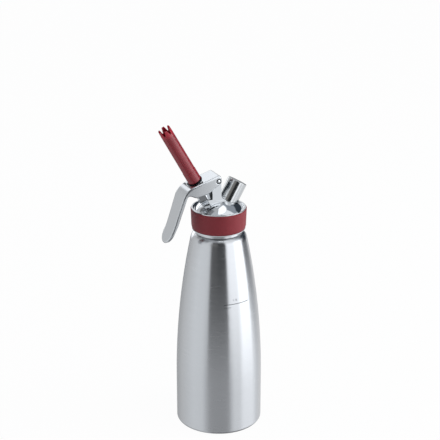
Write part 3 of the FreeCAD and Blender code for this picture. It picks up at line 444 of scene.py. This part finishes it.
finishes = {
    brushed: ["bottle"],
    polished: ["head_body", "pivot_pin", "charger_inlet"],
    turned: ["protective_cap"],
    satin: ["lever"],
    machined: ["stem_guide", "valve_stem", "stem_collar", "valve_spring", "piercing_pin",
               "check_ball", "check_spring", "check_retainer"],
    red_silicone: ["grip_band", "head_gasket"],
    red_plastic: ["decorator_tip"],
    # the adapter's near black is a painted shade
    shade_dark_steel: ["tip_adapter"],
    nitrile: ["guide_gasket", "stem_o_rings", "valve_seal", "adapter_o_ring", "inlet_gasket",
              "charger_gasket"],
    liner: ["cap_liner"],
}
for material, nodes in finishes.items():
    for name in nodes:
        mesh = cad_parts[name].data
        mesh.materials.clear()
        mesh.materials.append(material)

# ------------------------------------------------------------------ fill mark
LINE_Z = 156.0 * MM
LINE_FROM, LINE_TO = 8.2, 49.8          # degrees to the right of the set's front
LINE_HIGH = 0.6 * MM
TICK_Z = 152.6 * MM
TICK_TO = 18.5
TICK_HIGH = 0.4 * MM
FIGURE_Z = 159.4 * MM
FIGURE_FROM = 22.0
FIGURE_HIGH = 2.2 * MM
FIGURE_SPACING = 1.3
CAP_HEIGHT = 0.7                        # a letter's height over the font's size
MARK_PROUD = 0.04 * MM
MARK_SUNK = 0.06 * MM
WELD = MM / 1000


def on_bottle(turn, z, proud):
    """A point on the bottle's drawn-in side, by degrees round it from the set's front."""
    radius = BOTTLE_R - TAPER_R + math.sqrt(TAPER_R ** 2 - (z - STRAIGHT_TOP) ** 2) + proud
    angle = math.radians(turn) - FRONT
    return Vector((radius * math.cos(angle), radius * math.sin(angle), z))


def mark_line(shape, start, end, z, high):
    """A thin raised line round part of the bottle, closed all round."""
    steps = math.ceil(end - start)
    rings = []
    for i in range(steps + 1):
        turn = start + (end - start) * i / steps
        rings.append([shape.verts.new(on_bottle(turn, z + side * high / 2, proud))
                      for side, proud in ((-1, -MARK_SUNK), (-1, MARK_PROUD), (1, MARK_PROUD),
                                          (1, -MARK_SUNK))])
    for near, far in zip(rings, rings[1:]):
        for i in range(4):
            shape.faces.new((near[i], near[i - 1], far[i - 1], far[i]))
    shape.faces.new(rings[0])
    shape.faces.new(reversed(rings[-1]))


def fill_mark():
    """The one-litre line with its figure, as one raised mark."""
    figure = bpy.data.curves.new("figure", "FONT")
    figure.body = "1.0"
    figure.size = FIGURE_HIGH / CAP_HEIGHT
    figure.space_character = FIGURE_SPACING
    figure.extrude = (MARK_PROUD + MARK_SUNK) / 2
    stand_in = bpy.data.objects.new("figure", figure)
    bpy.context.collection.objects.link(stand_in)
    flat = bpy.data.meshes.new_from_object(stand_in.evaluated_get(
        bpy.context.evaluated_depsgraph_get()))
    bpy.data.objects.remove(stand_in)
    shape = bmesh.new()
    shape.from_mesh(flat)
    bmesh.ops.remove_doubles(shape, verts=shape.verts, dist=WELD)
    radius = on_bottle(0, FIGURE_Z, 0).xy.length
    middle = (MARK_PROUD - MARK_SUNK) / 2
    for vert in shape.verts:
        turn = FIGURE_FROM + math.degrees(vert.co.x / radius)
        vert.co = on_bottle(turn, FIGURE_Z + vert.co.y, middle + vert.co.z)
    mark_line(shape, LINE_FROM, LINE_TO, LINE_Z, LINE_HIGH)
    mark_line(shape, LINE_FROM, TICK_TO, TICK_Z, TICK_HIGH)
    bmesh.ops.recalc_face_normals(shape, faces=shape.faces)
    mesh = bpy.data.meshes.new("fill_mark")
    shape.to_mesh(mesh)
    shape.free()
    return mesh


def new_rule(name, inputs):
    """An empty Geometry Nodes tree with its named inputs and one mesh output."""
    tree = bpy.data.node_groups.new(name, "GeometryNodeTree")
    for label, kind in inputs.items():
        tree.interface.new_socket(label, in_out="INPUT", socket_type="NodeSocket" + kind)
    tree.interface.new_socket("Mesh", in_out="OUTPUT", socket_type="NodeSocketGeometry")
    return tree, add(tree, "NodeGroupInput").outputs


def end_rule(tree, shape, material):
    """The tree's last nodes: real faces, shaded smooth, with their material."""
    real = add(tree, "GeometryNodeRealizeInstances", {"Geometry": shape})
    smooth = add(tree, "GeometryNodeSetShadeSmooth", {"Geometry": real.outputs[0]})
    painted = add(tree, "GeometryNodeSetMaterial", {"Geometry": smooth.outputs[0],
                                                    "Material": material})
    add(tree, "NodeGroupOutput", {"Mesh": painted.outputs[0]})


def grown(name, tree, values):
    """The plain mesh that a tree makes from these values."""
    holder = bpy.data.objects.new(name, bpy.data.meshes.new(name))
    bpy.context.collection.objects.link(holder)
    rule = holder.modifiers.new(name, "NODES")
    rule.node_group = tree
    for socket in tree.interface.items_tree:
        if socket.in_out == "INPUT":
            rule[socket.identifier] = values[socket.name]
    mesh = bpy.data.meshes.new_from_object(holder.evaluated_get(
        bpy.context.evaluated_depsgraph_get()))
    holder.modifiers.remove(rule)
    bpy.data.objects.remove(holder)
    mesh.name = name
    return mesh


def rivet_heads_rule():
    """A low dome on each end of a pin that lies along Y, each the cap of one ball, with a
    foot that reaches into the pin."""
    tree, given = new_rule("rivet heads", {
        "Pivot": "Vector", "Half Width": "Float", "Pin Radius": "Float", "Ball Radius": "Float",
        "Rise": "Float", "Foot": "Float", "Material": "Material"})
    disc = add(tree, "GeometryNodeMeshCylinder", {
        "Vertices": 40, "Side Segments": 1, "Fill Segments": 6,
        "Radius": given["Pin Radius"], "Depth": given["Foot"]}, fill_type="TRIANGLE_FAN")
    at = add(tree, "GeometryNodeInputPosition").outputs[0]
    flat = add(tree, "ShaderNodeVectorMath", {0: at, 1: (1, 1, 0)},
               operation="MULTIPLY").outputs[0]
    reach = add(tree, "ShaderNodeVectorMath", {0: flat}, operation="LENGTH").outputs["Value"]
    reach_squared = add(tree, "ShaderNodeMath", {0: reach, 1: 2.0}, operation="POWER").outputs[0]
    ball_squared = add(tree, "ShaderNodeMath", {0: given["Ball Radius"], 1: 2.0},
                       operation="POWER").outputs[0]
    left = add(tree, "ShaderNodeMath", {0: ball_squared, 1: reach_squared},
               operation="SUBTRACT").outputs[0]
    surface = add(tree, "ShaderNodeMath", {0: left}, operation="SQRT").outputs[0]
    middle = add(tree, "ShaderNodeMath", {0: given["Ball Radius"], 1: given["Rise"]},
                 operation="SUBTRACT").outputs[0]
    dome = add(tree, "ShaderNodeMath", {0: surface, 1: middle}, operation="SUBTRACT").outputs[0]
    height = add(tree, "ShaderNodeSeparateXYZ", {0: at}).outputs["Z"]
    on_top = add(tree, "ShaderNodeMath", {0: height, 1: 0.0}, operation="GREATER_THAN").outputs[0]
    crown = add(tree, "ShaderNodeMath", {0: on_top, 1: dome}, operation="MULTIPLY").outputs[0]
    sunk = add(tree, "ShaderNodeMath", {0: given["Foot"], 1: 2.0}, operation="DIVIDE").outputs[0]
    lift = add(tree, "ShaderNodeMath", {0: crown, 1: sunk}, operation="SUBTRACT").outputs[0]
    upward = add(tree, "ShaderNodeCombineXYZ", {"Z": lift})
    head = add(tree, "GeometryNodeSetPosition", {"Geometry": disc.outputs["Mesh"],
                                                 "Offset": upward.outputs[0]})
    side = add(tree, "ShaderNodeCombineXYZ", {"Y": given["Half Width"]}).outputs[0]
    near = add(tree, "ShaderNodeVectorMath", {0: given["Pivot"], 1: side},
               operation="SUBTRACT").outputs[0]
    whole = add(tree, "ShaderNodeVectorMath", {0: side, 1: side}, operation="ADD").outputs[0]
    ends = add(tree, "GeometryNodeMeshLine", {"Count": 2, "Start Location": near,
                                              "Offset": whole})
    outward = add(tree, "ShaderNodeVectorMath", {0: at, 1: given["Pivot"]},
                  operation="SUBTRACT").outputs[0]
    turn = add(tree, "FunctionNodeAlignRotationToVector", {"Vector": outward}, axis="Z")
    heads = add(tree, "GeometryNodeInstanceOnPoints", {
        "Points": ends.outputs["Mesh"], "Instance": head.outputs[0],
        "Rotation": turn.outputs[0]})
    end_rule(tree, heads.outputs[0], given["Material"])
    return tree


def coil_rule():
    """A round wire that follows a helix, its two ends closed."""
    tree, given = new_rule("coil spring", {
        "Coil Radius": "Float", "Wire Radius": "Float", "Rise": "Float", "Turns": "Float",
        "Material": "Material"})
    helix = add(tree, "GeometryNodeCurveSpiral", {
        "Resolution": 32, "Rotations": given["Turns"], "Start Radius": given["Coil Radius"],
        "End Radius": given["Coil Radius"], "Height": given["Rise"]})
    ring = add(tree, "GeometryNodeCurvePrimitiveCircle", {"Resolution": 12,
                                                          "Radius": given["Wire Radius"]})
    wire = add(tree, "GeometryNodeCurveToMesh", {
        "Curve": helix.outputs[0], "Profile Curve": ring.outputs[0], "Fill Caps": True})
    end_rule(tree, wire.outputs[0], given["Material"])
    return tree


def place_piece(name, mesh, material, body):
    """A piece with its material and slot, riding on a body, or on none when no body is given."""
    mesh.materials.clear()
    mesh.materials.append(material)
    piece = bpy.data.objects.new(name, mesh)
    bpy.context.collection.objects.link(piece)
    if body:
        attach(piece, body)
    return piece


place_piece("fill_mark", fill_mark(), etched, "bottle")
place_piece("rivet_heads", grown("rivet_heads", rivet_heads_rule(), {
    "Pivot": PIVOT, "Half Width": LEVER_HALF, "Pin Radius": PIN_R, "Ball Radius": RIVET_BALL,
    "Rise": RIVET_RISE, "Foot": RIVET_FOOT, "Material": polished}),
    polished, "head")

spring_mesh = grown("valve_coil", coil_rule(), {
    "Coil Radius": COIL_R, "Wire Radius": WIRE_R, "Rise": COIL_TOP - COIL_FOOT,
    "Turns": COIL_TURNS, "Material": machined})
spring_mesh.transform(Matrix.Translation(VALVE_FOOT + VALVE_AXIS * COIL_FOOT)
                      @ Matrix.Rotation(-VALVE_TILT, 4, "Y"))
valve_coil = place_piece("valve_coil", spring_mesh, machined, None)
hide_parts("valve_spring")
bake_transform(valve_coil)
